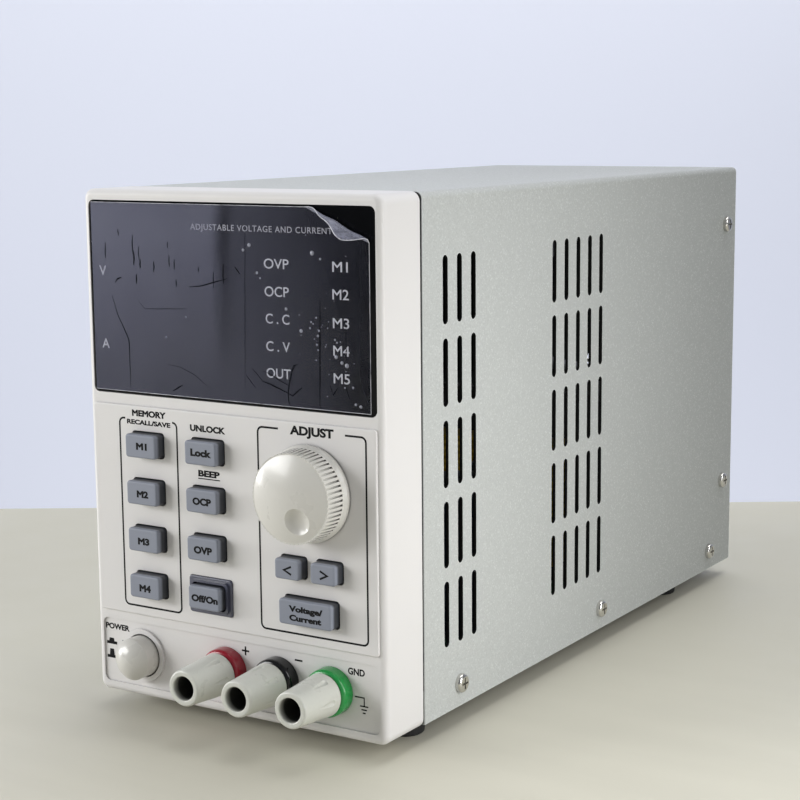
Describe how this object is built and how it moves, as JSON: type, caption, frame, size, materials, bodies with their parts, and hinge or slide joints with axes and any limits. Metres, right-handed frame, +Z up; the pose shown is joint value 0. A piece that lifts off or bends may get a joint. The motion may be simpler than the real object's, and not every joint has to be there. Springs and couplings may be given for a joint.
{
  "type": "bench power supply",
  "caption": "Compact bench power supply: slotted steel case, keyed front panel with smoked display, adjust knob, power button and binding posts.",
  "frame": {"origin": "bottom centre of the bounding box, on the bench under the feet", "axes": "+X to the right seen from the front, +Y from the front panel to the rear, +Z up"},
  "size_m": [0.1138, 0.2828, 0.1655],
  "materials": {
    "bezel_plastic": "fine matt moulding, warm off-white",
    "cover_paint": "fine-texture powder coat, pale grey-green",
    "chassis_zinc": "zinc plated sheet",
    "screw_steel": "bright nickel plate",
    "zinc_screw": "zinc plate",
    "foot_rubber": "matt black",
    "lens_smoke": "polished, near black",
    "film_clear": "hazy, scratched film",
    "board_green": "solder resist",
    "digit_black": "display module",
    "led_clear": "diffused indicator",
    "switch_black": "moulded",
    "key_grey": "blue-grey moulding, soft sheen",
    "frame_slate": "glossy slate",
    "knob_ivory": "glossy ivory",
    "shaft_alloy": "turned",
    "rod_plastic": "moulded",
    "post_brass": "turned brass",
    "nut_steel": "nickel plate",
    "collar_red": "glossy red",
    "collar_black": "glossy black",
    "collar_green": "glossy green",
    "sleeve_grey": "semi-gloss pale grey",
    "can_sleeve": "shrink sleeve",
    "epoxy_black": "moulded epoxy",
    "heatsink_alloy": "black anodised extrusion",
    "core_iron": "varnished laminations",
    "coil_tape": "yellow winding tape",
    "wire_mixed": "insulated leads",
    "fan_black": "moulded black",
    "guard_chrome": "bright wire",
    "inlet_black": "moulded black",
    "fuse_glass": "glass tube, plated caps",
    "selector_red": "moulded red"
  },
  "bodies": {
    "enclosure": {"front_bezel": "bezel_plastic", "cover": "cover_paint", "base_chassis": "chassis_zinc", "rear_panel": "cover_paint", "cover_screws": "screw_steel", "chassis_screws": "zinc_screw", "feet": "foot_rubber", "display_lens": "lens_smoke", "display_film": "film_clear", "front_board": "board_green", "digit_displays": "digit_black", "indicator_leds": "led_clear", "tact_switches": "switch_black", "output_key_frame": "frame_slate", "encoder_body": "chassis_zinc", "power_switch": "switch_black", "post_studs": "post_brass", "post_nuts": "nut_steel", "main_board": "board_green", "filter_capacitors": "can_sleeve", "bridge_rectifier": "epoxy_black", "heatsink": "heatsink_alloy", "pass_transistors": "epoxy_black", "transformer_core": "core_iron", "transformer_coil": "coil_tape", "transformer_clamp": "chassis_zinc", "wiring": "wire_mixed", "fan_frame": "fan_black", "fan_guard": "guard_chrome", "fan_screws": "screw_steel", "mains_inlet": "inlet_black", "voltage_selector": "inlet_black", "post_collar_red": "collar_red", "post_collar_black": "collar_black", "post_collar_green": "collar_green"},
    "key_memory_1": {"key_memory_1": "key_grey"},
    "key_memory_2": {"key_memory_2": "key_grey"},
    "key_memory_3": {"key_memory_3": "key_grey"},
    "key_memory_4": {"key_memory_4": "key_grey"},
    "key_lock": {"key_lock": "key_grey"},
    "key_current_limit": {"key_current_limit": "key_grey"},
    "key_voltage_limit": {"key_voltage_limit": "key_grey"},
    "key_output": {"key_output": "key_grey"},
    "key_digit_left": {"key_digit_left": "key_grey"},
    "key_digit_right": {"key_digit_right": "key_grey"},
    "key_volt_amp": {"key_volt_amp": "key_grey"},
    "knob": {"adjust_knob": "knob_ivory", "encoder_shaft": "shaft_alloy"},
    "power_plunger": {"power_button": "knob_ivory", "power_push_rod": "rod_plastic"},
    "post_carrier_red": {"post_insert_red": "post_brass"},
    "post_grip_red": {"post_sleeve_red": "sleeve_grey"},
    "post_carrier_black": {"post_insert_black": "post_brass"},
    "post_grip_black": {"post_sleeve_black": "sleeve_grey"},
    "post_carrier_green": {"post_insert_green": "post_brass"},
    "post_grip_green": {"post_sleeve_green": "sleeve_grey"},
    "rotor": {"fan_rotor": "fan_black"},
    "selector": {"selector_slider": "selector_red"},
    "drawer": {"fuse_drawer": "inlet_black", "mains_fuse": "fuse_glass"}
  },
  "joints": [
    {"name": "key_memory_1_press", "type": "slide", "parent": "enclosure", "child": "key_memory_1", "axis": [0, 1, 0], "range_m": [0, 0.0006], "stiffness_N_per_m": 400},
    {"name": "key_memory_2_press", "type": "slide", "parent": "enclosure", "child": "key_memory_2", "axis": [0, 1, 0], "range_m": [0, 0.0006], "stiffness_N_per_m": 400},
    {"name": "key_memory_3_press", "type": "slide", "parent": "enclosure", "child": "key_memory_3", "axis": [0, 1, 0], "range_m": [0, 0.0006], "stiffness_N_per_m": 400},
    {"name": "key_memory_4_press", "type": "slide", "parent": "enclosure", "child": "key_memory_4", "axis": [0, 1, 0], "range_m": [0, 0.0006], "stiffness_N_per_m": 400},
    {"name": "key_lock_press", "type": "slide", "parent": "enclosure", "child": "key_lock", "axis": [0, 1, 0], "range_m": [0, 0.0006], "stiffness_N_per_m": 400},
    {"name": "key_current_limit_press", "type": "slide", "parent": "enclosure", "child": "key_current_limit", "axis": [0, 1, 0], "range_m": [0, 0.0006], "stiffness_N_per_m": 400},
    {"name": "key_voltage_limit_press", "type": "slide", "parent": "enclosure", "child": "key_voltage_limit", "axis": [0, 1, 0], "range_m": [0, 0.0006], "stiffness_N_per_m": 400},
    {"name": "key_output_press", "type": "slide", "parent": "enclosure", "child": "key_output", "axis": [0, 1, 0], "range_m": [0, 0.0006], "stiffness_N_per_m": 400},
    {"name": "key_digit_left_press", "type": "slide", "parent": "enclosure", "child": "key_digit_left", "axis": [0, 1, 0], "range_m": [0, 0.0006], "stiffness_N_per_m": 400},
    {"name": "key_digit_right_press", "type": "slide", "parent": "enclosure", "child": "key_digit_right", "axis": [0, 1, 0], "range_m": [0, 0.0006], "stiffness_N_per_m": 400},
    {"name": "key_volt_amp_press", "type": "slide", "parent": "enclosure", "child": "key_volt_amp", "axis": [0, 1, 0], "range_m": [0, 0.0006], "stiffness_N_per_m": 400},
    {"name": "knob_turn", "type": "hinge", "parent": "enclosure", "child": "knob", "pos_m": [0.0294, -0.12035, 0.0784], "axis": [0, 1, 0], "continuous": true},
    {"name": "power_press", "type": "slide", "parent": "enclosure", "child": "power_plunger", "axis": [0, 1, 0], "range_m": [0, 0.004]},
    {"name": "post_advance_red", "type": "slide", "parent": "enclosure", "child": "post_carrier_red", "axis": [0, -1, 0], "range_m": [0, 0.004]},
    {"name": "post_turn_red", "type": "hinge", "parent": "post_carrier_red", "child": "post_grip_red", "pos_m": [-0.0033, -0.12035, 0.0194], "axis": [0, -1, 0], "range_deg": [0, 1440]},
    {"name": "post_advance_black", "type": "slide", "parent": "enclosure", "child": "post_carrier_black", "axis": [0, -1, 0], "range_m": [0, 0.004]},
    {"name": "post_turn_black", "type": "hinge", "parent": "post_carrier_black", "child": "post_grip_black", "pos_m": [0.0162, -0.12035, 0.0194], "axis": [0, -1, 0], "range_deg": [0, 1440]},
    {"name": "post_advance_green", "type": "slide", "parent": "enclosure", "child": "post_carrier_green", "axis": [0, -1, 0], "range_m": [0, 0.004]},
    {"name": "post_turn_green", "type": "hinge", "parent": "post_carrier_green", "child": "post_grip_green", "pos_m": [0.0356, -0.12035, 0.0194], "axis": [0, -1, 0], "range_deg": [0, 1440]},
    {"name": "fan_spin", "type": "hinge", "parent": "enclosure", "child": "rotor", "pos_m": [0, 0.12465, 0.1193], "axis": [0, 1, 0], "continuous": true},
    {"name": "selector_slide", "type": "slide", "parent": "enclosure", "child": "selector", "axis": [1, 0, 0], "range_m": [0, 0.005]},
    {"name": "fuse_drawer_slide", "type": "slide", "parent": "enclosure", "child": "drawer", "axis": [0, 1, 0], "range_m": [0, 0.022]}
  ],
  "couplings": [
    {"joint": "post_turn_red", "follows": "post_advance_red", "rad_per_m": 6283.2},
    {"joint": "post_turn_black", "follows": "post_advance_black", "rad_per_m": 6283.2},
    {"joint": "post_turn_green", "follows": "post_advance_green", "rad_per_m": 6283.2}
  ]
}
